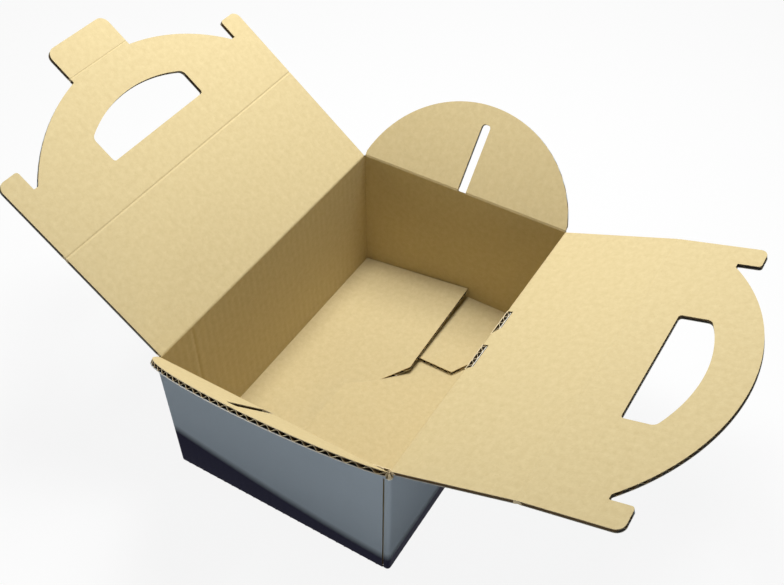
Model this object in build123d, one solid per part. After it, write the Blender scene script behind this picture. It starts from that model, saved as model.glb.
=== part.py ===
from build123d import *
from math import atan2, cos, degrees, radians, sin, sqrt, tan
import os

# Carry box for grapes, cut and folded from one sheet of corrugated board.
# All sizes are millimetres. X runs across the box, Y along it and Z up. The origin is the
# middle of the footprint, on the surface that the box stands on.

# Board
board = 3.8            # C flute: two liners and the wave between them
slack = 0.3            # air left between the middle of the box and each closed lid's crease
fold_radius = 3.0      # outside of a folded corner of the tray

# Tray
inner_width = 200.0    # at the floor
inner_length = 290.0   # at the floor
wall_height = 132.0
wall_lean = 3.0        # how far the rim stands outside the foot of each wall
rim_half_width = inner_width / 2 + wall_lean
rim_half_length = inner_length / 2 + wall_lean
glue_tab_width = 25.0
glue_tab_taper = 8.0
glue_tab_drop = 1.5    # below the rim
glue_tab_foot = 12.0   # above the ground, clear of the floor flaps
glue_tab_bite = 1.0    # how far its root reaches into the right wall

# Creases are opened on the printed side, so that a panel can fold outwards about its kraft face
rim_open_limit = 100.0     # a lid or end flap folds this far out from upright
handle_fold_limit = 86.0   # a handle stands up from its lid by this much
crease_spare = 1.0         # degrees of air left in a crease at its limit
rim_bevel = (rim_open_limit + crease_spare) / 2
handle_bevel = (handle_fold_limit + crease_spare) / 2

# Where each panel stands in the photograph, in degrees outwards from its parent
left_lid_rest = 51.5
right_lid_rest = 68.4
left_handle_rest = 0.0
right_handle_rest = 5.2
tongue_rest = 0.0
back_flap_rest = 42.6
front_flap_rest = 37.3

# Lids: closed, they make a shallow roof, and their creases meet at the middle of the box
roof_pitch = 90 - handle_fold_limit
lid_end_gap = 1.0          # each end of a lid stops this far inside the rim's corner
lid_half_length = rim_half_length - lid_end_gap
lid_depth = (rim_half_width - slack) / cos(radians(roof_pitch))
slit_inner = 6.4           # the pair of slits in the right rim crease, from the middle
slit_outer = 36.0
slit_into_wall = 1.2
slit_into_lid = 3.2

# Handle panels: between the two ears, an arc from notch to notch
handle_height = 106.0
ear_width = 21.0
ear_height = 73.0
ear_outer_corner = 7.0
ear_inner_corner = 2.5
notch_width = 4.5
notch_height = 54.9
ear_inner = lid_half_length - ear_width
arc_half_width = ear_inner - notch_width
arc_rise = handle_height - notch_height
handle_arc_radius = (arc_half_width**2 + arc_rise**2) / (2 * arc_rise)
hand_hole_width = 113.0
hand_hole_bottom = 34.0
hand_hole_top = 73.0
hand_hole_arc_radius = 119.0
hand_hole_corner = 6.0
hand_hole_foot_corner = 2.5

# Locking tongue on the left handle, folded over the right handle's top
tongue_root = 0.5          # from the handle's top to the crease
tongue_crease = handle_height + tongue_root
tongue_half_width = 33.5
tongue_length = 28.0
tongue_corner = 8.0

# End flaps: part of a disc, slotted for the ears of both handles
flap_height = 81.0
flap_side_height = 4.7     # where the disc meets the flap's straight sides
flap_end_gap = 0.5
flap_half_width = rim_half_width - flap_end_gap
flap_rise = flap_height - flap_side_height
flap_radius = (flap_half_width**2 + flap_rise**2) / (2 * flap_rise)
slot_spare = 0.8
slot_width = 2 * board + slot_spare
slot_height = 64.0
slot_corner = 3.2

# Floor flaps. The two long flaps cross at one point, where each passes over the other one, and they
# also hold a short flap each. Distances of a long flap's edge are past the middle of the box.
hinge_bite = 2.0           # how far a floor flap's root reaches into its wall
floor_edge_gap = 0.4       # between a long flap's ends and the end walls
floor_end = inner_length / 2 - floor_edge_gap
layer_gap = 0.2            # air between two flaps that lie on each other
cross_x = -3.0             # where the two long flaps cross
cross_y = 9.4
cross_gap = 0.4            # between the two edges that meet at the crossing
left_reach = 15.5          # free edge, from the back wall to left_step
left_step = 35.0
left_tuck = 13.5           # how far short of the crossing its tucked edge stops
left_flat_to = -20.0       # it lies on the ground in front of this
left_bend_at = 45.0
left_bend_height = 9.5     # of its free edge's underside there
left_back_height = 15.7    # and at the back wall
right_reach = 24.5         # free edge, from the front wall to right_step
right_step = -13.0
right_tuck = 10.7
right_flat_from = 40.0     # it lies on the ground behind this
right_bend_at = -30.0
right_front_height = 11.5  # of its free edge's underside from there to the front wall
short_depth = 93.0
short_side_gap = 2.0       # from its root to the side wall that it comes near
short_taper = 49.0         # how much narrower it is at the front than at its root
short_tuck_taper = 6.0     # the same, on the side beneath a long flap
short_root_open = inner_width / 2 - short_side_gap
short_half_front = short_root_open - short_taper
short_root_covered = short_half_front + short_tuck_taper
short_low = layer_gap             # height of its underside where it hangs beside the flap below
short_high = board + layer_gap    # and where it lies on that flap


def rim_plane(outward, half, tilt):
    """Plane of a panel on the rim: X along the crease, Y up the panel, Z out of the printed face."""
    normal, upright = Vector(outward), Vector(0, 0, 1)
    face = normal * cos(radians(tilt)) - upright * sin(radians(tilt))
    return Plane(normal * half + upright * wall_height, x_dir=upright.cross(normal), z_dir=face)


def bent_plane(parent, distance, bend):
    """Plane of a panel creased to its parent at a distance up it, bent towards the printed face."""
    face = parent.z_dir * cos(radians(bend)) - parent.y_dir * sin(radians(bend))
    return Plane(parent.origin + parent.y_dir * distance, x_dir=parent.x_dir, z_dir=face)


def rectangle(left, right, low, high):
    """Rectangle between two X values and two Y values."""
    return Pos((left + right) / 2, (low + high) / 2) * Rectangle(right - left, high - low)


def crease_wedge(at, bevel, side, half_length):
    """Prism that opens a crease on the printed side. side is 1 where the panel lies above it."""
    deep = 2 * board
    run = deep * tan(radians(bevel)) * side
    beyond = at - side * board
    section = Polygon((at, 0), (at + run, deep), (beyond, deep), (beyond, 0), align=None)
    return extrude(Plane.YZ * section, half_length + 2 * board, both=True)


def rounded(sketch, corners, radius):
    """Sketch with its vertices at the given points rounded."""
    for x, y in corners:
        vertex = sketch.vertices().sort_by_distance((x, y, 0))[0]
        sketch = fillet(vertex, radius)
    return sketch


def pressed(sketch):
    """Panel of the board's thickness, from its kraft face at Z 0 to its printed face."""
    return extrude(sketch, board)


def wall_loft(half_width, half_length, radius):
    """Upright block whose top is larger than its foot by the walls' lean."""
    foot = Rectangle(2 * half_width, 2 * half_length)
    rim = Rectangle(2 * (half_width + wall_lean), 2 * (half_length + wall_lean))
    if radius:
        foot, rim = fillet(foot.vertices(), radius), fillet(rim.vertices(), radius)
    return loft([foot, Pos(0, 0, wall_height) * rim])


def walls():
    """The four walls, bevelled along the rim, with the two slits of the right crease."""
    shell = wall_loft(inner_width / 2 + board, inner_length / 2 + board, fold_radius)
    shell -= wall_loft(inner_width / 2, inner_length / 2, 0)
    for outward, half, length in (
        ((-1, 0, 0), rim_half_width, rim_half_length),
        ((1, 0, 0), rim_half_width, rim_half_length),
        ((0, 1, 0), rim_half_length, rim_half_width),
        ((0, -1, 0), rim_half_length, rim_half_width),
    ):
        shell -= rim_plane(outward, half, 0) * crease_wedge(0, rim_bevel, -1, length)
    right = rim_plane((1, 0, 0), rim_half_width, 0)
    for side in (-1, 1):
        inner, outer = sorted((side * slit_inner, side * slit_outer))
        notch = extrude(rectangle(inner, outer, -slit_into_wall, board), 2 * board, both=True)
        shell -= right * notch
    return shell


def glue_tab():
    """The maker's joint: a tab of the right wall, glued inside the front wall."""
    lean = degrees(atan2(wall_lean, wall_height))
    low, high = glue_tab_foot - wall_height, -glue_tab_drop
    root_low = rim_half_width + wall_lean * low / wall_height + glue_tab_bite
    root_high = rim_half_width + glue_tab_bite
    edge = rim_half_width - glue_tab_width
    outline = Polygon(
        (root_high, high), (edge, high - glue_tab_taper),
        (edge, low + glue_tab_taper), (root_low, low), align=None)
    return rim_plane((0, -1, 0), rim_half_length, lean) * extrude(outline, -board)


def long_flap(reach, step, nose, tuck, rises):
    """Floor flap creased to the left wall, sprung up where it lies on top and flat where it tucks
    under. Ruled between cross-sections: each rise is (Y, height of the free edge's underside)."""
    root = -inner_width / 2 - hinge_bite
    sections = [
        Plane.XZ.offset(-y) * Polygon(
            (root, 0), (reach, rise), (reach, rise + board), (root, board), align=None)
        for y, rise in ((-floor_end, rises[0][1]), *rises)
    ]
    outline = Polygon(
        (root, -floor_end), (tuck[0], -floor_end), tuck, nose, (reach, step), (reach, floor_end),
        (root, floor_end), align=None)
    return loft(sections, ruled=True) & extrude(outline, wall_height)


def short_flap(under_edge):
    """Floor flap creased to the back wall. It lies on the long flap right of under_edge, and its
    other side hangs down beside that flap, beneath the left one."""
    back = inner_length / 2
    front = back - short_depth
    section = Polygon(
        (-short_root_covered, short_low), (-short_half_front, short_low),
        (under_edge, short_high), (short_root_open, short_high),
        (short_root_open, short_high + board), (under_edge, short_high + board),
        (-short_half_front, short_low + board), (-short_root_covered, short_low + board),
        align=None)
    outline = Polygon(
        (-short_root_covered, back + hinge_bite), (-short_root_covered, back),
        (-short_half_front, front), (short_half_front, front),
        (short_root_open, back), (short_root_open, back + hinge_bite), align=None)
    return extrude(Plane.XZ * section, -2 * back) & extrude(outline, wall_height)


def floor_flaps():
    """The four interlocked floor flaps, apart from each other by a little air. Each long flap's tucked
    edge runs along the other one's slanting edge. The right one is drawn as a left one, and turned."""
    left_slant = (left_step - cross_y) / (left_reach - cross_x)
    right_slant = (cross_y - right_step) / (cross_x + right_reach)
    left_nose = (cross_x, cross_y + cross_gap / 2)
    left_tucked = (cross_x - left_tuck, left_nose[1] - left_tuck * right_slant)
    right_nose = (-cross_x, -cross_y + cross_gap / 2)
    right_tucked = (-cross_x - right_tuck, right_nose[1] - right_tuck * left_slant)
    left = long_flap(left_reach, left_step, left_nose, left_tucked, (
        (left_flat_to, 0), (left_bend_at, left_bend_height), (floor_end, left_back_height)))
    right = long_flap(right_reach, -right_step, right_nose, right_tucked, (
        (-right_flat_from, 0), (-right_bend_at, right_front_height), (floor_end, right_front_height)))
    turn = Rot(0, 0, 180)
    back = short_flap(-right_tucked[0] - cross_gap)
    front = turn * short_flap(-left_tucked[0] - cross_gap)
    return [left, turn * right, back, front]


def tray():
    """Walls, maker's joint and floor flaps, one piece of board folded at its creases."""
    return walls() + glue_tab() + floor_flaps()


def lid(plane, slits):
    """Roof panel between the rim and the handle's crease, with the slits of the rim if it has them."""
    panel = pressed(rectangle(-lid_half_length, lid_half_length, 0, lid_depth))
    panel -= crease_wedge(0, rim_bevel, 1, lid_half_length)
    panel -= crease_wedge(lid_depth, handle_bevel, -1, lid_half_length)
    if slits:
        for inner, outer in ((-slit_outer, -slit_inner), (slit_inner, slit_outer)):
            panel -= extrude(rectangle(inner, outer, -board, slit_into_lid), 2 * board, both=True)
    return plane * panel


def hand_hole():
    """Grip opening: straight foot and sides, and an arched top."""
    half = hand_hole_width / 2
    arch = Pos(0, hand_hole_top - hand_hole_arc_radius) * Circle(hand_hole_arc_radius)
    hole = rectangle(-half, half, hand_hole_bottom, hand_hole_top) & arch
    shoulder = hand_hole_top - hand_hole_arc_radius + sqrt(hand_hole_arc_radius**2 - half**2)
    hole = rounded(hole, ((-half, shoulder), (half, shoulder)), hand_hole_corner)
    feet = ((-half, hand_hole_bottom), (half, hand_hole_bottom))
    return rounded(hole, feet, hand_hole_foot_corner)


def handle(plane, with_tongue):
    """Handle panel: an arched grip between two square ears, which the end flaps' slots hook over."""
    outline = rectangle(-lid_half_length, lid_half_length, 0, notch_height)
    bow = Pos(0, handle_height - handle_arc_radius) * Circle(handle_arc_radius)
    outline += bow & rectangle(-arc_half_width, arc_half_width, 0, handle_height)
    for side in (-1, 1):
        inner, outer = sorted((side * ear_inner, side * lid_half_length))
        ear = rectangle(inner, outer, 0, ear_height)
        ear = rounded(ear, [(side * lid_half_length, ear_height)], ear_outer_corner)
        outline += rounded(ear, [(side * ear_inner, ear_height)], ear_inner_corner)
    if with_tongue:
        outline += rectangle(-tongue_half_width, tongue_half_width, notch_height, tongue_crease)
    panel = pressed(outline - hand_hole())
    return plane * (panel - crease_wedge(0, handle_bevel, 1, lid_half_length))


def tongue(plane):
    """Locking tongue beyond the left handle's top."""
    outline = rectangle(-tongue_half_width, tongue_half_width, 0, tongue_length)
    tips = ((-tongue_half_width, tongue_length), (tongue_half_width, tongue_length))
    return plane * pressed(rounded(outline, tips, tongue_corner))


def end_flap(plane):
    """Round end flap with the slot that takes both handles' ears, open down to the crease."""
    disc = Pos(0, flap_height - flap_radius) * Circle(flap_radius)
    outline = disc & rectangle(-flap_half_width, flap_half_width, 0, flap_height)
    half = slot_width / 2
    slot = rectangle(-half, half, -board, slot_height)
    outline -= rounded(slot, ((-half, slot_height), (half, slot_height)), slot_corner)
    return plane * (pressed(outline) - crease_wedge(0, rim_bevel, 1, flap_half_width))


def pieces():
    """Every piece by its node's name, each panel at its place in the photograph."""
    left = rim_plane((-1, 0, 0), rim_half_width, left_lid_rest)
    right = rim_plane((1, 0, 0), rim_half_width, right_lid_rest)
    left_grip = bent_plane(left, lid_depth, left_handle_rest)
    right_grip = bent_plane(right, lid_depth, right_handle_rest)
    return {
        "tray": tray(),
        "left_lid": lid(left, slits=False),
        "right_lid": lid(right, slits=True),
        "left_handle": handle(left_grip, with_tongue=True),
        "right_handle": handle(right_grip, with_tongue=False),
        "lock_tongue": tongue(bent_plane(left_grip, tongue_crease, tongue_rest)),
        "back_flap": end_flap(rim_plane((0, 1, 0), rim_half_length, back_flap_rest)),
        "front_flap": end_flap(rim_plane((0, -1, 0), rim_half_length, front_flap_rest)),
    }


os.makedirs("parts", exist_ok=True)
for name, piece in pieces().items():
    export_step(piece, f"parts/{name}.step")
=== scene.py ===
from collections import namedtuple
from math import atan2, cos, pi, radians, sin, sqrt, tan

import bmesh
import bpy
import numpy as np
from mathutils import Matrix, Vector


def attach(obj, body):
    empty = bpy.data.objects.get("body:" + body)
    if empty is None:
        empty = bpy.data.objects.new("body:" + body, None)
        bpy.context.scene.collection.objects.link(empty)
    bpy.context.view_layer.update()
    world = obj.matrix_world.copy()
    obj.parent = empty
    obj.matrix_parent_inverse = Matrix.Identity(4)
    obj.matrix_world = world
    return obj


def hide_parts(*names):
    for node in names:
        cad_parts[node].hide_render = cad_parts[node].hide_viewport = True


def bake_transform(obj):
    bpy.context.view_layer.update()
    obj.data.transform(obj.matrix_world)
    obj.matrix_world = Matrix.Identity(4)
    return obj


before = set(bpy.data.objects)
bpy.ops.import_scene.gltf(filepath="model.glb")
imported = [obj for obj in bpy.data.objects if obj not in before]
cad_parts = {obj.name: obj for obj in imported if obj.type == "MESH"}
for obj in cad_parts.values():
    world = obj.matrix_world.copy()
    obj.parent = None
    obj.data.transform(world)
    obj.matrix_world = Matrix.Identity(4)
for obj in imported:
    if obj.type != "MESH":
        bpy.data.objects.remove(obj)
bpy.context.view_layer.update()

# Sizes are millimetres, as in the part's source, and meshes are turned to metres when they are made.
MM = 0.001

# Board: two liners with a wave of paper between them
board = 3.8
liner = 0.5
paper = 0.34           # the wave's own thickness
pitch = 7.5            # one flute
ripple = 0.02          # how far the flutes show through a liner
wall_ripple = 0.045    # and through the tray's walls
column = 0.5           # width of a mesh column along a crease
end_column = 0.04      # width of the first column at a cut end, where columns are narrow
wave_inset = 0.1       # the wave ends this far inside the liners' edges
wave_side = 0.03       # and this far inside the sides of its band
cells_per_mm = 40      # points in one cell of this grid are welded
sharp_angle = radians(40)

# Tray
inner_width, inner_length, wall_height = 200.0, 290.0, 132.0
wall_lean = 3.0
rim_half_width, rim_half_length = inner_width / 2 + wall_lean, inner_length / 2 + wall_lean
fold_radius = 3.0
lean_angle = atan2(wall_lean, wall_height)
wall_slant = wall_height / cos(lean_angle)
tab_width, tab_taper, tab_drop, tab_foot = 25.0, 8.0, 1.5, 12.0
end_gap = 6.1          # the front wall's cut end stays this far behind the right wall's face
seam = 1.0             # width of the dark seam beside that end
step_back = 0.4        # the right wall's round edge lies this far behind the front wall's face
wall_fold, fold_width, fold_depth = 110.0, 1.6, 0.35   # a faint upright fold inside the left wall
corner_column = 0.2    # width of a mesh column beyond the ends of a wall's crease
cap_thickness = 1.0    # the crushed board across the top of a rounded corner
curl_rise = 2.2        # where the outer liner's curl at the ground ends

# Creases: how far the folded strip reaches into each panel on the kraft face and on the printed one
rim_bevel, handle_bevel = radians(50.5), radians(43.5)
kraft_reach = 2.5
rim_reach, handle_reach = board * tan(rim_bevel), board * tan(handle_bevel)
tongue_reach = 1.5
crease_middle = 3.4     # how far the printed face is from a crease's line at its middle
strip_steps, strip_column = 17, 2.5      # points across a folded strip and column width along it
strip_ripple = 0.6      # share of the ripple that is left in a folded strip
press_width, press_relief = 0.18, 0.3    # the pressed line's width and the swelling beside it

# Rest angles, in degrees outwards from each panel's parent
left_lid_rest, right_lid_rest, right_handle_rest = 51.5, 68.4, 5.2
back_flap_rest, front_flap_rest = 42.6, 37.3

# Lids, handles and tongue
lid_end_gap, ridge_gap, roof_pitch = 1.0, 0.3, radians(4)
lid_half_length = rim_half_length - lid_end_gap
lid_depth = (rim_half_width - ridge_gap) / cos(roof_pitch)
slit_into_lid, slack = 5.4, 0.7
slits = ((6.4, 36.0, 9.0), (-36.0, -6.4, 4.0))   # near end, far end and the length that narrows
calm_line = 9.0         # a mesh line that keeps the slits' uneven shading beside the crease
torn_slope = 14         # how steeply the wall's torn flutes drop where a slit narrows
lip_inset = 0.2         # the printed lip stops this far inside the slit's ends
brow_drop = 8           # from the hand hole's shoulder to the end of the bow
handle_height, bow_radius, bow_half_width = 106.0, 170.0, 121.5
ear_inner, ear_height, ear_outer_corner, ear_inner_corner = 126.0, 73.0, 7.0, 2.5
hole_half_width, hole_bottom, hole_top, hole_radius = 56.5, 34.0, 73.0, 119.0
hole_corner, hole_foot_corner = 6.0, 2.5
tongue_crease, tongue_half_width, tongue_length, tongue_corner = 106.5, 33.5, 28.0, 8.0

# End flaps
flap_end_gap, slot_column = 0.5, 0.3
flap_height, flap_radius, flap_half_width = 81.0, 107.0, rim_half_width - flap_end_gap
slot_half_width, slot_height, slot_corner = 4.2, 64.0, 3.2

# Floor flaps
floor_root = inner_width / 2
floor_gap, bend_smoothing = 0.4, 6
floor_end = inner_length / 2 - floor_gap
LongFlap = namedtuple("LongFlap", "reach step nose tuck rises")
long_left = LongFlap(15.5, 35.0, (-3.0, 9.6), (-16.5, -4.6), ((-20.0, 0.0), (45.0, 9.5), (145.0, 15.7)))
long_right = LongFlap(24.5, 13.0, (3.0, -9.2), (-7.7, -24.0), ((-40.0, 0.0), (30.0, 11.5), (145.0, 11.5)))
short_depth, short_half_front, short_covered, short_open = 93.0, 49.0, 55.0, 98.0
short_low, short_high = 0.2, board + 0.2

# The printed foot of the tray's outside: its soft top edge runs down from left to right
foot_high, foot_low, foot_softness = 46.0, 19.0, 11.0

KRAFT, PRINT, WAVE, KRAFT_EDGE, PRINT_EDGE = range(5)

up = np.array([0.0, 0.0, 1.0])
Place = namedtuple("Place", "origin along rise face")
Band = namedtuple("Band", "s levels")


def rim_place(outward, half, tilt):
    """Frame of a panel on the rim: along the crease, up the panel, out of its printed face."""
    outward = np.array(outward, float)
    rise = outward * sin(tilt) + up * cos(tilt)
    face = outward * cos(tilt) - up * sin(tilt)
    return Place(outward * half + up * wall_height, np.cross(up, outward), rise, face)


def bent_place(parent, distance, bend):
    """Frame of a panel creased to its parent at a distance up it."""
    rise = parent.rise * cos(bend) + parent.face * sin(bend)
    face = parent.face * cos(bend) - parent.rise * sin(bend)
    return Place(parent.origin + parent.rise * distance, parent.along, rise, face)


def flat(place):
    """Mapping of a flat panel: P(s, d, t) = origin + s along + d rise + t face."""
    def point(s, d, t):
        s, d, t = np.broadcast_arrays(s, d, t)
        return (place.origin + s[..., None] * place.along + d[..., None] * place.rise
                + t[..., None] * place.face)
    return point


def dented(place):
    """Mapping of the left wall, with a faint fold: t gains depth exp(-((s - fold) / width) ** 2)."""
    plain = flat(place)
    return lambda s, d, t: plain(s, d, t + fold_depth * np.exp(-(((s - wall_fold) / fold_width) ** 2)))


def columns(start, end, step=column):
    """Places of mesh columns along a crease: even steps, and at both ends more at end_column times
    1, 4, 9 and so on, for the round corners."""
    count = max(2, int(np.ceil((end - start) / step)) + 1)
    near = end_column * np.arange(1, 8) ** 2
    near = near[near < (end - start) / 2]
    return np.unique(np.concatenate([np.linspace(start, end, count), start + near, end - near]))


def closed(low, high):
    """Patches that close two facing grids all round: P(i, k) between their four pairs of edges."""
    sides = []
    for pick, axis in ((np.s_[:, :1], 1), (np.s_[:, -1:], 1), (np.s_[:1, :], 0), (np.s_[-1:, :], 0)):
        sides.append([np.concatenate([a[pick], b[pick]], axis) for a, b in zip(low, high)])
    return sides


def sheet(point, band, t_out, t_in, slot, edge, height=ripple):
    """One liner over a band of columns, closed all round.
    P(s, k, t) = (s, level_k(s, t), t), with t rippled by sin(2 pi s / pitch) on its open face."""
    sign = 1 if t_out > t_in else -1
    wave = sign * height * np.sin(2 * pi * band.s / pitch)

    def face(t, lift):
        d = np.maximum.accumulate(np.stack([level(band.s, t) for level in band.levels], 1), 1)
        return [band.s[:, None] + 0 * d, d, t + lift[:, None] + 0 * d]

    outer, inner = face(t_out, wave), face(t_in, 0 * wave)
    patches = [(outer, slot), (inner, slot)] + [(side, edge) for side in closed(outer, inner)]
    return [(point(s, d, t), s, d, m) for (s, d, t), m in patches]


def medium(point, band):
    """The wave between the liners: t(s) = board / 2 + height sin(2 pi s / pitch), moved half its paper's
    thickness to each side along its own normal."""
    height = board / 2 - liner - paper / 2
    turn = 2 * pi / pitch
    slope = height * turn * np.cos(turn * band.s)
    length = np.sqrt(1 + slope**2)
    sides = []
    for side in (-1, 1):
        t = board / 2 + height * np.sin(turn * band.s) + side * paper / 2 / length
        s = band.s - side * paper / 2 * slope / length
        s = np.clip(s, band.s[0] + wave_side, band.s[-1] - wave_side)
        low = band.levels[0](band.s, t) + wave_inset
        high = np.maximum(band.levels[-1](band.s, t) - wave_inset, low)
        sides.append([np.stack([s, s], 1), np.stack([low, high], 1), np.stack([t, t], 1)])
    cut_ends, others = closed(*sides)[:2], closed(*sides)[2:]
    patches = [(point(s, d, t), s, d, WAVE) for s, d, t in sides + others]
    return patches + [(point(s, d, t), s, d, KRAFT_EDGE) for s, d, t in cut_ends]


def layers(point, bands):
    """Both liners and the wave of a panel made of bands: kraft face at t = 0, printed at t = board."""
    patches = []
    for band in bands:
        patches += sheet(point, band, 0.0, liner, KRAFT, KRAFT_EDGE)
        patches += sheet(point, band, board, board - liner, PRINT, PRINT_EDGE)
        patches += medium(point, band)
    return patches


def mesh_object(name, patches, materials):
    """One object from grids of points. Each grid's quads join neighbours, and its UV map is (s, d).
    Points that meet are welded, and walls that two bands share are left out."""
    points, quads, slots, uvs, base = [], [], [], [], 0
    for grid, s, d, slot in patches:
        n, m = grid.shape[:2]
        index = base + np.arange(n * m).reshape(n, m)
        quad = np.stack([index[:-1, :-1], index[1:, :-1], index[1:, 1:], index[:-1, 1:]], -1)
        quads.append(quad.reshape(-1, 4))
        points.append(grid.reshape(-1, 3))
        uvs.append(np.stack([s, d], -1).reshape(-1, 2))
        slots.append(np.full(len(quads[-1]), slot))
        base += n * m
    points, quads = np.concatenate(points), np.concatenate(quads)
    uvs, slots = np.concatenate(uvs) * MM, np.concatenate(slots)
    cells = np.round(points * cells_per_mm).astype(np.int64)
    _, first, weld = np.unique(cells, axis=0, return_index=True, return_inverse=True)
    welded = weld.reshape(-1)[quads]
    order = np.sort(welded, 1)
    corners = 1 + (np.diff(order, axis=1) != 0).sum(1)
    _, group, count = np.unique(order, axis=0, return_inverse=True, return_counts=True)
    single = count[group.reshape(-1)] == 1
    repeat = (welded == np.roll(welded, -1, 1)).argmax(1)
    keep = single & (corners == 4)
    short = single & (corners == 3) & (welded == np.roll(welded, -1, 1)).any(1)
    others = (repeat[short, None] + np.arange(1, 4)) % 4
    rows = np.flatnonzero(short)[:, None]
    triangles, corner_uvs = welded[rows, others], uvs[quads[rows, others]]
    mesh = bpy.data.meshes.new(name)
    mesh.from_pydata((points[first] * MM).tolist(), [], welded[keep].tolist() + triangles.tolist())
    slots = np.concatenate([slots[keep], slots[short]])
    mesh.polygons.foreach_set("material_index", slots.astype(np.int32))
    layer = mesh.uv_layers.new(name="board")
    flat_uvs = np.concatenate([uvs[quads[keep]].reshape(-1, 2), corner_uvs.reshape(-1, 2)])
    layer.data.foreach_set("uv", flat_uvs.astype(np.float32).ravel())
    for material in materials:
        mesh.materials.append(material)
    mesh.validate()
    shell = bmesh.new()
    shell.from_mesh(mesh)
    bmesh.ops.delete(shell, geom=[v for v in shell.verts if not v.link_faces], context="VERTS")
    bmesh.ops.recalc_face_normals(shell, faces=shell.faces)
    shell.to_mesh(mesh)
    shell.free()
    mesh.polygons.foreach_set("use_smooth", np.ones(len(mesh.polygons), bool))
    mesh.set_sharp_from_angle(angle=sharp_angle)
    piece = bpy.data.objects.new(name, mesh)
    bpy.context.scene.collection.objects.link(piece)
    return piece


def crease_edge(reach):
    """Where a panel ends beside a folded strip: evenly from kraft_reach on the kraft face to reach on
    the printed one."""
    return lambda s, t: kraft_reach + (reach - kraft_reach) * t / board + 0 * s


def level(height):
    """A straight edge at one height."""
    return lambda s, t: height + 0 * s + 0 * t


def folded_strip(name, below, above, reach, kraft, spans, bodies, materials, press, power):
    """The crushed strip at a crease, from one panel to the next.
    Kraft face: start (1 - u)^power + end u^power, round the crease's line and pressed in at its middle.
    Printed face: r(u) = end + (middle - end) sin(pi u), turning evenly about the crease's line."""
    u = np.linspace(0, 1, strip_steps)
    face = below.face + above.face
    face /= np.linalg.norm(face)
    cross = below.rise + above.rise
    cross /= np.linalg.norm(cross)
    start, end = -kraft * below.rise, kraft * above.rise
    bow = ((1 - u) ** power)[:, None] * start + (u**power)[:, None] * end
    pressed = press * (np.exp(-(((u - 0.5) / press_width) ** 2)) - press_relief * np.sin(pi * u) ** 2)
    inner = bow + pressed[:, None] * face
    corner = -reach * below.rise + board * below.face
    turn = atan2(corner @ cross, corner @ face)
    far = np.linalg.norm(corner)
    radius = far + (crease_middle - far) * np.sin(pi * u)
    angle = turn * (1 - 2 * u)
    outer = (radius * np.cos(angle))[:, None] * face + (radius * np.sin(angle))[:, None] * cross
    patches = []
    for low, high in spans:
        s = columns(low, high, strip_column)
        wave = ripple * np.sin(2 * pi * s / pitch) * strip_ripple
        faces = []
        for curve in (inner, outer):
            grid = above.origin + curve[:, None, :] + s[None, :, None] * above.along
            grid = grid + wave[None, :, None] * face * np.sin(pi * u)[:, None, None]
            faces.append([grid, s[None, :] + 0 * u[:, None], 6 * (u[:, None] - 0.5) + 0 * s])
        patches += [(*faces[0], KRAFT), (*faces[1], PRINT)]
        ends, hidden = closed(*faces)[:2], closed(*faces)[2:]
        patches += [(*side, KRAFT_EDGE) for side in ends] + [(*side, WAVE) for side in hidden]
    piece = mesh_object(name, patches, materials)
    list(bodies)
    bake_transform(piece)
    return piece


def open_share(s):
    """How far a slit is open: 0 at its near end, then rising evenly to 1 along the length that
    narrows."""
    share = np.ones_like(s)
    for near, far, narrow in slits:
        share = np.where((s >= near) & (s <= far), np.clip((s - near) / narrow, 0, 1), share)
    return share


def slit_edges(end):
    """Places along a crease, from -end to end, where slits begin and finish."""
    return [-end, *sorted(place for slit in slits for place in slit[:2]), end]


def lid_bands(slit):
    """A lid: d runs from its crease's edge to lid_depth less the handle crease's edge. At a slit its low
    edge is the larger of slit_into_lid times the open share and a bevel, tan(rim_bevel) t + slack."""
    low, high = crease_edge(rim_reach), lambda s, t: lid_depth - crease_edge(handle_reach)(s, t)
    cut = lambda s, t: np.maximum(slit_into_lid * open_share(s), tan(rim_bevel) * t + slack) + 0 * s
    root = lambda s, t: np.maximum(cut(s, t), low(s, t))
    if not slit:
        return [Band(columns(-lid_half_length, lid_half_length), (low, high))]
    edges = slit_edges(lid_half_length)
    calm = level(calm_line)
    return [Band(columns(a, b), (cut, root, calm, high) if k % 2 else (low, root, calm, high))
            for k, (a, b) in enumerate(zip(edges, edges[1:]))]


def bow_top(s, t):
    """Top of a handle: an arc, centre + sqrt(radius^2 - s^2)."""
    return handle_height - bow_radius + np.sqrt(bow_radius**2 - s**2) + 0 * t


def ear_top(s, t):
    """Top of an ear: ear_height, less radius - sqrt(radius^2 - x^2) at each of its two corners."""
    x = np.abs(s)
    outer = np.clip(x - (lid_half_length - ear_outer_corner), 0, ear_outer_corner)
    inner = np.clip(ear_inner + ear_inner_corner - x, 0, ear_inner_corner)
    drop = ear_outer_corner - np.sqrt(ear_outer_corner**2 - outer**2)
    return ear_height - drop - ear_inner_corner + np.sqrt(ear_inner_corner**2 - inner**2) + 0 * t


def hole_low_edge(s, t):
    """Bottom of the hand hole: flat, plus radius - sqrt(radius^2 - x^2) at its two small corners."""
    x = np.clip(np.abs(s) - (hole_half_width - hole_foot_corner), 0, hole_foot_corner)
    return hole_bottom + hole_foot_corner - np.sqrt(hole_foot_corner**2 - x**2) + 0 * t


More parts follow.
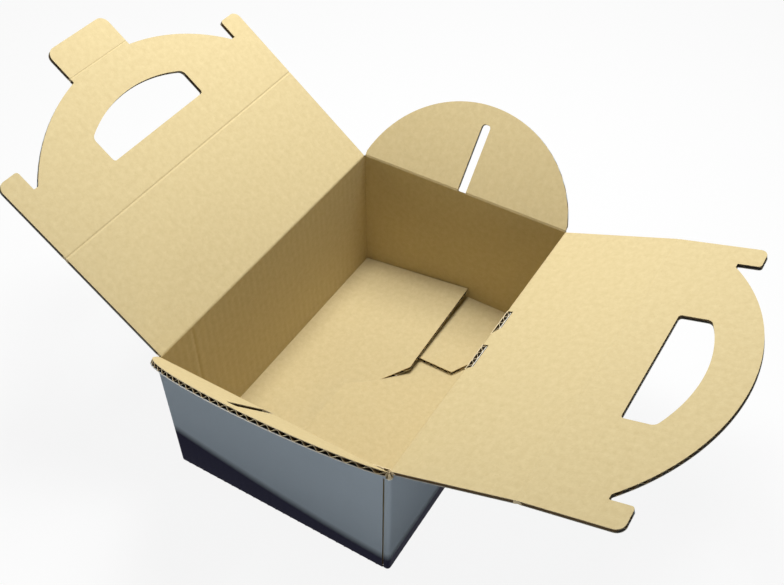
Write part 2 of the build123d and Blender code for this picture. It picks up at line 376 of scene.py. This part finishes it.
def hole_high_edge(s, t):
    """Top of the hand hole: an arc, centre + sqrt(radius^2 - s^2), that runs into a smaller one that
    touches it at each side."""
    x = np.abs(s)
    centre = hole_top - hole_radius
    corner_x = hole_half_width - hole_corner
    corner_y = centre + sqrt((hole_radius - hole_corner) ** 2 - corner_x**2)
    touch = corner_x * hole_radius / (hole_radius - hole_corner)
    arch = centre + np.sqrt(hole_radius**2 - x**2)
    past = np.clip(x - corner_x, 0, hole_corner)
    corner = corner_y + np.sqrt(np.maximum(hole_corner**2 - past**2, 0))
    return np.where(x > touch, corner, arch) + 0 * t


def handle_bands(tongue_root):
    """A handle: bands of s for the ears, notches, arched grip and the strips above and below the hand
    hole, each between the edges that the functions above give."""
    low = crease_edge(handle_reach)
    notch = level(handle_height - bow_radius + sqrt(bow_radius**2 - bow_half_width**2))
    foot = level(hole_bottom + hole_foot_corner)
    shoulder = float(hole_high_edge(np.array([hole_half_width]), 0.0)[0])
    brow_places, brow_heights = (hole_half_width, bow_half_width), (shoulder, shoulder - brow_drop)
    brow = lambda s, t: np.interp(abs(s), brow_places, brow_heights) + 0 * t
    bands = []
    for side in (-1, 1):
        for a, b, tops in (
            (ear_inner, lid_half_length, (notch, ear_top)),
            (bow_half_width, ear_inner, (notch,)),
            (hole_half_width, bow_half_width, (bow_top,)),
        ):
            bands.append(Band(columns(*sorted((side * a, side * b))), (low, foot, brow, *tops)))
    bands.append(Band(columns(-hole_half_width, hole_half_width), (low, hole_low_edge)))
    if not tongue_root:
        bands.append(Band(columns(-hole_half_width, hole_half_width), (hole_high_edge, bow_top)))
        return bands
    beside = level(float(bow_top(tongue_half_width, 0.0)))
    for side in (-1, 1):
        s = columns(*sorted((side * tongue_half_width, side * hole_half_width)))
        bands.append(Band(s, (hole_high_edge, bow_top)))
    s = columns(-tongue_half_width, tongue_half_width)
    bands.append(Band(s, (hole_high_edge, beside, level(tongue_crease - tongue_reach))))
    return bands


def tongue_bands():
    """The tongue: flat to tongue_length, less radius - sqrt(radius^2 - x^2) at its two corners."""
    def top(s, t):
        x = np.clip(np.abs(s) - (tongue_half_width - tongue_corner), 0, tongue_corner)
        return tongue_length - tongue_corner + np.sqrt(tongue_corner**2 - x**2) + 0 * t
    return [Band(columns(-tongue_half_width, tongue_half_width), (level(tongue_reach), top))]


def end_flap_bands():
    """An end flap: up to flap_height - radius + sqrt(radius^2 - s^2), slotted down to its crease."""
    low = crease_edge(rim_reach)

    def rim(s, t):
        return np.maximum(flap_height - flap_radius + np.sqrt(flap_radius**2 - s**2), low(s, t) + 0.05)

    def slot_top(s, t):
        x = np.clip(np.abs(s) - (slot_half_width - slot_corner), 0, slot_corner)
        return slot_height - slot_corner + np.sqrt(slot_corner**2 - x**2) + 0 * t

    beside = lambda s, t: np.minimum(slot_height - slot_corner, rim(s, t))
    bands = [Band(columns(*sorted((side * slot_half_width, side * flap_half_width))), (low, beside, rim))
             for side in (-1, 1)]
    return bands + [Band(columns(-slot_half_width, slot_half_width, slot_column), (slot_top, rim))]


def slit_top(s, t):
    """The wall's edge in a slit: cut square, and below the end that narrows the flutes drop by
    torn_slope times the share that isn't open, at most the board and a liner."""
    share = open_share(s)
    return np.where(t <= liner, 0 * share, np.clip(torn_slope * (share - 1), -board - liner, 0))


def slope_top(s, t):
    """The wall's edge beside a crease: sloped down from the kraft face to the printed one."""
    return -tan(rim_bevel) * t + 0 * s


def wall_bands(half_rim, half_foot, strip_ends, gaps, gap_top):
    """Kraft liner and wave of a wall. Beyond the foot's corner the low edge climbs to the rim."""
    def foot(s, t):
        climb = np.clip((np.abs(s) - half_foot) / (half_rim - half_foot), 0, 1)
        return -wall_slant * (1 - climb) + 0 * t

    strip = lambda s, t: np.maximum(-crease_edge(rim_reach)(s, t), foot(s, t))
    corner = lambda s, t: np.maximum(slope_top(s, t), strip(s, t))
    edges = [-strip_ends, *gaps, strip_ends]
    bands = [Band(columns(a, b), (foot, strip, gap_top) if k % 2 else (foot, strip))
             for k, (a, b) in enumerate(zip(edges, edges[1:]))]
    for side in (-1, 1):
        s = columns(*sorted((side * strip_ends, side * (half_rim - 0.01))), corner_column)
        bands.append(Band(s, (foot, strip, corner)))
    return bands


def foot_ring():
    """Line round the tray's foot from the glued corner: the centres of its rounded corners, the way that
    each point faces, and the run so far. Every board-thick corner is a quarter circle about its centre;
    the first starts with a short flat, and the last panel runs on to its own cut end."""
    x, y = inner_width / 2 + board - fold_radius, inner_length / 2 + board - fold_radius
    flank = np.array([(x + fold_radius - end_gap + seam, step_back - y), (x - 0.05, step_back - y)])
    base, faces = [flank], [flank * 0 + (0, -1)]
    for centre, turn in (((x, step_back - y), -90), ((x, y), 0), ((-x, y), 90), ((-x, -y), 180)):
        angles = np.radians(np.linspace(turn, turn + 90, 9))
        arc = np.stack([np.cos(angles), np.sin(angles)], 1)
        if len(base) > 1:
            count = int(np.linalg.norm(centre - base[-1][-1]) / column)
            line = base[-1][-1] + (centre - base[-1][-1]) * np.linspace(0, 1, count)[1:-1, None]
            base.append(line)
            faces.append(arc[0] + 0 * line)
        base.append(np.array(centre) + 0 * arc)
        faces.append(arc)
    count = int(2 * x / column)
    last = np.array([2 * x + fold_radius - end_gap, 0])
    line = base[-1][-1] + last * np.linspace(0, 1, count)[1:, None]
    base, faces = np.concatenate(base + [line]), np.concatenate(faces + [faces[-1][-1] + 0 * line])
    skin = base + fold_radius * faces
    run = np.concatenate([[0], np.cumsum(np.linalg.norm(np.diff(skin, axis=0), axis=1))])
    return base, faces, run


def leaned(x, y, z):
    """Points of the tray's outside, moved outwards in step with their height: x + lean clip(x / half)."""
    lean = wall_lean * z / wall_height
    return np.stack([x + lean * np.clip(2 * x / inner_width, -1, 1),
                     y + lean * np.clip(2 * y / inner_length, -1, 1), z], -1)


def outer_liner():
    """The tray's printed outside: P(run, z) follows the foot's rounded rectangle, leans out towards
    the rim, and curls under at the ground by a quarter circle."""
    top = wall_height - rim_reach
    arc = np.linspace(0, pi / 2, 7)
    heights = np.concatenate([curl_rise * (1 - np.cos(arc)), np.linspace(curl_rise, top, 5)[1:]])
    insets = np.concatenate([curl_rise * (1 - np.sin(arc)), np.zeros(4)])
    base, faces, run = foot_ring()
    wave = ripple * np.sin(2 * pi * run / pitch)
    grids = []
    for radius, ripples in ((fold_radius, wave), (fold_radius - liner, 0 * wave)):
        reach = radius + ripples[:, None] - insets
        x = base[:, :1] + faces[:, :1] * reach
        y = base[:, 1:] + faces[:, 1:] * reach
        z = heights + (liner if radius < fold_radius else 0) * (heights < curl_rise / 2) + 0 * x
        grids.append([leaned(x, y, z), run[:, None] + 0 * x, z])
    patches = [(*grid, PRINT) for grid in grids] + [(*side, PRINT_EDGE) for side in closed(*grids)[:2]]
    return patches + [(*side, WAVE) for side in closed(*grids)[2:]]


def corner_caps():
    """Crushed board across the top of each rounded corner: straight lines from the kraft corner to
    points of the liner's arc, P = corner + share (arc - corner)."""
    patches = []
    base, faces, run = foot_ring()
    for x, y in ((1, -1), (1, 1), (-1, 1), (-1, -1)):
        pick = (faces[:, 0] * x >= -1e-9) & (faces[:, 1] * y >= -1e-9)
        pick &= (base[:, 0] * x > inner_width / 2) & (base[:, 1] * y > inner_length / 2)
        pick &= run < run[-1] - 10
        skin = base[pick] + (fold_radius - liner / 2) * faces[pick]
        share = np.linspace(0, 1, 4)
        low = leaned(skin[:, 0], skin[:, 1], np.full(len(skin), wall_height - rim_reach))
        kraft_corner = np.array([x * rim_half_width, y * rim_half_length, wall_height])
        top = kraft_corner + (low - kraft_corner)[:, None, :] * share[:, None]
        under = top - np.array([0, 0, cap_thickness])
        s = run[pick][:, None] + 0 * share
        grids = [[top, s, share * board + 0 * s], [under, s, share * board + 0 * s]]
        patches += [(*grid, KRAFT_EDGE) for grid in grids + closed(*grids)]
    return patches


def slit_lips():
    """The printed liner of the right wall in each slit: d runs from -rim_reach up to slit_top."""
    patches = []
    lip_top = lambda s, t: np.maximum(slit_top(s, t), -rim_reach)
    for near, far, narrow in slits:
        band = Band(columns(near + lip_inset, far - lip_inset), (level(-rim_reach), lip_top))
        patches += sheet(flat(walls[right]), band, board, board - liner, PRINT, PRINT_EDGE)
    return patches


def glue_tab():
    """The maker's joint inside the front wall, at its right end: a trapezium whose two ends move in by
    tab_taper across tab_width."""
    place = rim_place((0, -1, 0), rim_half_length, lean_angle)
    place = place._replace(origin=place.origin - board * place.face)
    edge = rim_half_width - tab_width
    low_end, high_end = tab_foot - wall_height, -tab_drop

    def high(s, t):
        return high_end - tab_taper * (rim_half_width - s) / tab_width + 0 * t

    def low(s, t):
        return low_end + tab_taper * (rim_half_width - s) / tab_width + 0 * t

    return layers(flat(place), [Band(columns(edge, rim_half_width - 0.3), (low, high))])


def long_flap(flap, turned):
    """A long floor flap: z(x, y) = rise(y) (x - root) / (reach - root), kraft face up."""
    across = flap.reach + floor_root
    stations, rises = zip(*flap.rises)
    smooth = np.linspace(-bend_smoothing, bend_smoothing, 7)
    sign = -1 if turned else 1

    def point(s, d, t):
        s, d, t = np.broadcast_arrays(s, d, t)
        rise = np.mean([np.interp(s + shift, stations, rises) for shift in smooth], 0)
        z = rise * d / across + board - t
        return np.stack([sign * (d - floor_root), sign * s, z], -1)

    def edge(s, t):
        xs = (flap.tuck[0], flap.tuck[0], flap.nose[0], flap.reach, flap.reach)
        ys = (-floor_end, flap.tuck[1], flap.nose[1], flap.step, floor_end)
        return np.interp(s, ys, xs) + floor_root + 0 * t

    cuts = [-floor_end, flap.tuck[1], flap.nose[1], flap.step, floor_end]
    return layers(point, [Band(columns(a, b), (level(0.0), edge)) for a, b in zip(cuts, cuts[1:])])


def short_flap(under_edge, turned):
    """A short floor flap: z depends on x, low beside the long flap and high where it lies on it."""
    back = inner_length / 2
    front = back - short_depth
    sign = -1 if turned else 1

    def point(s, d, t):
        s, d, t = np.broadcast_arrays(s, d, t)
        z = np.interp(s, (-short_half_front, under_edge), (short_low, short_high)) + board - t
        return np.stack([sign * s, sign * (back - d), z], -1)

    def edge(s, t):
        xs = (-short_covered, -short_half_front, short_half_front, short_open)
        return np.interp(s, xs, (0.1, back - front, back - front, 0.1)) + 0 * t

    cuts = [-short_covered, -short_half_front, under_edge, short_half_front, short_open]
    return layers(point, [Band(columns(a, b), (level(0.0), edge)) for a, b in zip(cuts, cuts[1:])])


def node_material(name):
    """A new material with its nodes, and a short way to add and link more."""
    material = bpy.data.materials.new(name)
    material.use_nodes = True
    nodes, links = material.node_tree.nodes, material.node_tree.links
    shader = nodes["Principled BSDF"]

    def add(kind, inputs=None, **settings):
        node = nodes.new(kind)
        for key, value in settings.items():
            setattr(node, key, value)
        for key, value in (inputs or {}).items():
            if isinstance(value, bpy.types.NodeSocket):
                links.new(value, node.inputs[key])
            else:
                node.inputs[key].default_value = value
        return node

    return material, shader, add, links


def mixed(add, share, first, second):
    """Colour between two colours or sockets, by a share."""
    node = add("ShaderNodeMix", {0: share, 6: first, 7: second}, data_type="RGBA")
    return node.outputs[2]


def maths(add, operation, first, second=0.0, third=0.0, clamp=False):
    """One step of arithmetic on sockets or numbers."""
    node = add("ShaderNodeMath", {0: first, 1: second, 2: third}, operation=operation, use_clamp=clamp)
    return node.outputs[0]


def fibres(add, coordinates):
    """Paper: cloudy mottling, short fibres lying mostly along the flutes, and dark specks."""
    cloud = add("ShaderNodeTexNoise", {"Vector": coordinates, "Scale": 190.0, "Detail": 6.0,
                                       "Roughness": 0.7}).outputs[0]
    stretched = add("ShaderNodeMapping", {"Vector": coordinates, "Scale": (1.0, 0.12, 1.0)}).outputs[0]
    strands = add("ShaderNodeTexNoise", {"Vector": stretched, "Scale": 2600.0, "Detail": 3.0}).outputs[0]
    specks = add("ShaderNodeTexVoronoi", {"Vector": coordinates, "Scale": 420.0}).outputs[0]
    dark = maths(add, "LESS_THAN", specks, 0.09)
    return cloud, strands, dark


def kraft_material(name, light, dark, speck):
    """Uncoated liner: warm brown paper with fibres, painted shade of the flutes' ripple as faint darker
    stripes at the flute pitch, and a fine tooth.
    """
    material, shader, add, links = node_material(name)
    board_map = add("ShaderNodeUVMap", uv_map="board").outputs[0]
    cloud, strands, specks = fibres(add, board_map)
    share = maths(add, "MULTIPLY_ADD", cloud, 1.3, maths(add, "MULTIPLY", strands, 0.5))
    share = maths(add, "SUBTRACT", share, 0.4, clamp=True)
    colour = mixed(add, share, dark, light)
    # Painted shade: the colour darkens a little all over, and more in stripes at the flute pitch, for the
    # shading of the washboard ripple
    flute = add("ShaderNodeSeparateXYZ", {0: board_map}).outputs[0]
    flute_ripple_shade = maths(add, "SINE", maths(add, "MULTIPLY", flute, 2 * pi / (pitch * MM)))
    faint = maths(add, "MULTIPLY_ADD", flute_ripple_shade, 0.03, 0.04)
    colour = mixed(add, faint, colour, dark)
    colour = mixed(add, maths(add, "MULTIPLY", specks, 0.35), colour, speck)
    links.new(colour, shader.inputs["Base Color"])
    shader.inputs["Roughness"].default_value = 0.92
    shader.inputs["Specular IOR Level"].default_value = 0.2
    bump = add("ShaderNodeBump", {"Height": strands, "Strength": 0.25, "Distance": 0.0002})
    links.new(bump.outputs[0], shader.inputs["Normal"])
    return material


def print_material(name, field, ink, foot):
    """Printed liner: a pale field of ink over the paper's fibres. With a foot, dark blue rises from the
    ground, and its soft edge runs down from left to right."""
    material, shader, add, links = node_material(name)
    place = add("ShaderNodeTexCoord").outputs["Object"]
    cloud, strands, specks = fibres(add, place)
    share = maths(add, "MULTIPLY_ADD", cloud, 0.25, maths(add, "MULTIPLY", strands, 0.2), clamp=True)
    colour = mixed(add, share, field, [0.86 * c for c in field[:3]] + [1])
    if foot:
        xyz = add("ShaderNodeSeparateXYZ", {0: place})
        half = inner_width / 2 * MM
        across = maths(add, "MULTIPLY_ADD", xyz.outputs[0], -0.5 / half, 0.5, clamp=True)
        edge = maths(add, "MULTIPLY_ADD", maths(add, "POWER", across, 1.6),
                     (foot_high - foot_low) * MM, foot_low * MM)
        below = maths(add, "SUBTRACT", edge, xyz.outputs[2])
        below = maths(add, "MULTIPLY_ADD", below, 1 / (foot_softness * MM), 0.5, clamp=True)
        colour = mixed(add, below, colour, ink)
    links.new(colour, shader.inputs["Base Color"])
    shader.inputs["Roughness"].default_value = 0.62
    shader.inputs["Specular IOR Level"].default_value = 0.04
    bump = add("ShaderNodeBump", {"Height": strands, "Strength": 0.12, "Distance": 0.0002})
    links.new(bump.outputs[0], shader.inputs["Normal"])
    return material


# Papers: light and dark fibres, and specks
kraft = kraft_material(
    "kraft", (0.635, 0.53, 0.30, 1), (0.50, 0.40, 0.205, 1), (0.33, 0.21, 0.10, 1))
raw = kraft_material(
    "wave_paper", (0.26, 0.18, 0.095, 1), (0.18, 0.12, 0.06, 1), (0.12, 0.08, 0.04, 1))
kraft_cut = kraft_material(
    "kraft_cut", (0.78, 0.66, 0.43, 1), (0.70, 0.57, 0.35, 1), (0.4, 0.3, 0.2, 1))
printed_cut = kraft_material(
    "printed_cut", (0.84, 0.80, 0.70, 1), (0.76, 0.70, 0.58, 1), (0.5, 0.4, 0.3, 1))
navy = (0.004, 0.004, 0.020, 1)
field = (0.45, 0.53, 0.60, 1)
printed = print_material("printed", field, navy, foot=False)
printed_tray = print_material("printed_tray", field, navy, foot=True)
panel_materials = [kraft, printed, raw, kraft_cut, printed_cut]
tray_materials = [kraft, printed_tray, raw, kraft_cut, printed_cut]

left, right, back, front = (-1, 0, 0), (1, 0, 0), (0, 1, 0), (0, -1, 0)
left_lid = rim_place(left, rim_half_width, radians(left_lid_rest))
right_lid = rim_place(right, rim_half_width, radians(right_lid_rest))
left_handle = bent_place(left_lid, lid_depth, 0.0)
right_handle = bent_place(right_lid, lid_depth, radians(right_handle_rest))
tongue = bent_place(left_handle, tongue_crease, 0.0)
back_flap = rim_place(back, rim_half_length, radians(back_flap_rest))
front_flap = rim_place(front, rim_half_length, radians(front_flap_rest))

# Panels that turn on joints
for node, place, bands in (
    ("left_lid", left_lid, lid_bands(slit=False)),
    ("right_lid", right_lid, lid_bands(slit=True)),
    ("left_handle", left_handle, handle_bands(tongue_root=True)),
    ("right_handle", right_handle, handle_bands(tongue_root=False)),
    ("lock_tongue", tongue, tongue_bands()),
    ("back_flap", back_flap, end_flap_bands()),
    ("front_flap", front_flap, end_flap_bands()),
):
    piece = mesh_object(node + "_board", layers(flat(place), bands), panel_materials)
    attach(piece, node)
    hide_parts(node)

# The tray: walls with their wave, printed outside, and floor
walls = {side: rim_place(side, half, lean_angle) for side, half in (
    (left, rim_half_width), (right, rim_half_width), (back, rim_half_length), (front, rim_half_length))}

inside, wave = [], []
for side, place in walls.items():
    long = side in (left, right)
    half_rim = rim_half_length if long else rim_half_width
    half_foot = half_rim - wall_lean
    strip_ends = lid_half_length if long else flap_half_width
    gaps, gap_top = ([], None) if long else ([-slot_half_width, slot_half_width], slope_top)
    if side == right:
        gaps, gap_top = sorted(place for slit in slits for place in slit[:2]), slit_top
    point = dented(place) if side == left else flat(place)
    for band in wall_bands(half_rim, half_foot, strip_ends, gaps, gap_top):
        inside += sheet(point, band, 0.0, liner, KRAFT, KRAFT_EDGE, wall_ripple)
        if side == front:    # the wave stops at the seam of the glued corner
            band = band._replace(s=band.s[band.s < half_foot + board - end_gap])
        if len(band.s) > 1:
            wave += medium(point, band)
inside += corner_caps()
tray_inside = mesh_object("tray_inside", inside + glue_tab(), tray_materials)
tray_wave = mesh_object("tray_wave", wave, tray_materials)
tray_outside = mesh_object("tray_outside", outer_liner() + slit_lips(), tray_materials)
floor_patches = (long_flap(long_left, False) + long_flap(long_right, True)
                 + short_flap(-long_right.tuck[0] - 0.5, False)
                 + short_flap(-long_left.tuck[0] - 0.5, True))
tray_floor = mesh_object("tray_floor", floor_patches, tray_materials)
for piece, name in ((tray_inside, "kraft_board"), (tray_wave, "kraft_board"),
                    (tray_outside, "printed_board"), (tray_floor, "kraft_board")):
    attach(piece, "tray")
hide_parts("tray")

# Folded strips. The last two values are how deep the line is pressed and how closely it is folded
end_spans = [(-flap_half_width, -slot_half_width), (slot_half_width, flap_half_width)]
whole = [(-lid_half_length, lid_half_length)]
rim_places = slit_edges(lid_half_length)
slit_spans = list(zip(rim_places[::2], rim_places[1::2]))
for name, below, above, reach, into, spans, bodies, press, power in (
    ("left_lid_fold", walls[left], left_lid, rim_reach, kraft_reach, whole,
     ("tray", "left_lid"), 0.12, 3),
    ("right_lid_fold", walls[right], right_lid, rim_reach, kraft_reach, slit_spans,
     ("tray", "right_lid"), 0.2, 3),
    ("back_flap_fold", walls[back], back_flap, rim_reach, kraft_reach, end_spans,
     ("tray", "back_flap"), 0.3, 3),
    ("front_flap_fold", walls[front], front_flap, rim_reach, kraft_reach, end_spans,
     ("tray", "front_flap"), 0.3, 3),
    ("left_handle_fold", left_lid, left_handle, handle_reach, kraft_reach, whole,
     ("left_lid", "left_handle"), 0.65, 2),
    ("right_handle_fold", right_lid, right_handle, handle_reach, kraft_reach, whole,
     ("right_lid", "right_handle"), 0.3, 2),
    ("tongue_fold", left_handle, tongue, tongue_reach, tongue_reach,
     [(-tongue_half_width, tongue_half_width)], ("left_handle", "lock_tongue"), 0.5, 2),
):
    folded_strip(name, below, above, reach, into, spans, bodies, panel_materials, press, power)


def seen_rays(nodes, links):
    """Share that is 1 for what the camera sees, straight or by way of gloss and glass."""
    ray = nodes.new("ShaderNodeLightPath")
    total = ray.outputs["Is Camera Ray"]
    for name in ("Is Glossy Ray", "Is Transmission Ray"):
        add = nodes.new("ShaderNodeMath")
        add.operation, add.use_clamp = "ADD", True
        links.new(total, add.inputs[0])
        links.new(ray.outputs[name], add.inputs[1])
        total = add.outputs[0]
    return total


def ground_material():
    """Matt pale floor that the camera sees nearly white, with a light shadow left on it."""
    material, shader, add, links = node_material("ground")
    nodes = material.node_tree.nodes
    shader.inputs["Base Color"].default_value = (0.80, 0.80, 0.80, 1)
    shader.inputs["Roughness"].default_value = 0.9
    glow = add("ShaderNodeEmission", {"Color": (1.0, 1.0, 1.0, 1), "Strength": 1.0})
    place = add("ShaderNodeTexCoord").outputs["Object"]
    away = add("ShaderNodeVectorMath", {0: place}, operation="LENGTH").outputs["Value"]
    # Fully white from 2.5 m away, so that no horizon shows
    far = maths(add, "MULTIPLY_ADD", away, 0.6, -0.5, clamp=True)
    share = maths(add, "MULTIPLY", seen_rays(nodes, links), maths(add, "MULTIPLY_ADD", far, 0.1, 0.9))
    mix = add("ShaderNodeMixShader", {0: share, 1: shader.outputs[0], 2: glow.outputs[0]})
    links.new(mix.outputs[0], nodes["Material Output"].inputs["Surface"])
    return material


def studio():
    """White ground, white sky for the camera, a soft light from above and a dim one all round."""
    size = 12.0
    mesh = bpy.data.meshes.new("ground")
    corners = [(-size, -size, 0), (size, -size, 0), (size, size, 0), (-size, size, 0)]
    mesh.from_pydata([(x, y, -0.0003) for x, y, z in corners], [], [(0, 1, 2, 3)])
    mesh.materials.append(ground_material())
    ground = bpy.data.objects.new("ground", mesh)
    bpy.context.scene.collection.objects.link(ground)
    for name, place, width, power in (
        ("over", (-0.12, 0.17, 0.95), 0.3, 4.8),
        ("behind", (-0.05, 0.40, 1.0), 0.5, 7.9),
        ("low_front", (0.45, -1.05, 0.12), 0.35, 1.6),
    ):
        lamp = bpy.data.lights.new(name, "AREA")
        lamp.shape, lamp.size, lamp.energy = "DISK", width, power
        holder = bpy.data.objects.new(name, lamp)
        bpy.context.scene.collection.objects.link(holder)
        holder.location = place
        aim = Vector((0.0, 0.0, 0.1)) - holder.location
        holder.rotation_euler = aim.to_track_quat("-Z", "Y").to_euler()
    world = bpy.data.worlds.new("sky")
    bpy.context.scene.world = world
    world.use_nodes = True
    nodes, links = world.node_tree.nodes, world.node_tree.links
    nodes.clear()
    dim, white = nodes.new("ShaderNodeBackground"), nodes.new("ShaderNodeBackground")
    dim.inputs[0].default_value, dim.inputs[1].default_value = (1.0, 1.0, 1.0, 1), 0.05
    white.inputs[0].default_value, white.inputs[1].default_value = (1.0, 1.0, 1.0, 1), 1.0
    mix, out = nodes.new("ShaderNodeMixShader"), nodes.new("ShaderNodeOutputWorld")
    links.new(seen_rays(nodes, links), mix.inputs[0])
    links.new(dim.outputs[0], mix.inputs[1])
    links.new(white.outputs[0], mix.inputs[2])
    links.new(mix.outputs[0], out.inputs[0])


def photo_camera():
    """Camera at the photograph's place, fitted to the box's corners: azimuth, elevation and roll in
    degrees, distance and target in millimetres, focal length in pixels of a picture 784 wide."""
    azimuth, elevation, roll = radians(30.83), radians(45.172), radians(0.45)
    target, distance = np.array([-23.802, 66.943, 60.0]), 981.609
    focal_pixels, picture_width, sensor = 1074.152, 784, 36.0
    back_way = np.array([sin(azimuth) * cos(elevation), -cos(azimuth) * cos(elevation), sin(elevation)])
    side = np.cross(up, back_way)
    side /= np.linalg.norm(side)
    above = np.cross(back_way, side)
    right_way = cos(roll) * side + sin(roll) * above
    up_way = cos(roll) * above - sin(roll) * side
    data = bpy.data.cameras.new("camera")
    data.sensor_fit, data.sensor_width = "HORIZONTAL", sensor
    data.lens = focal_pixels / picture_width * sensor
    data.clip_start, data.clip_end = 0.01, 20.0
    camera = bpy.data.objects.new("camera", data)
    bpy.context.scene.collection.objects.link(camera)
    turn = Matrix([[*row] for row in np.stack([right_way, up_way, back_way], 1)])
    camera.matrix_world = turn.to_4x4()
    camera.location = (target + distance * back_way) * MM
    bpy.context.scene.camera = camera


studio()
photo_camera()
bpy.context.scene.view_settings.view_transform = "Standard"
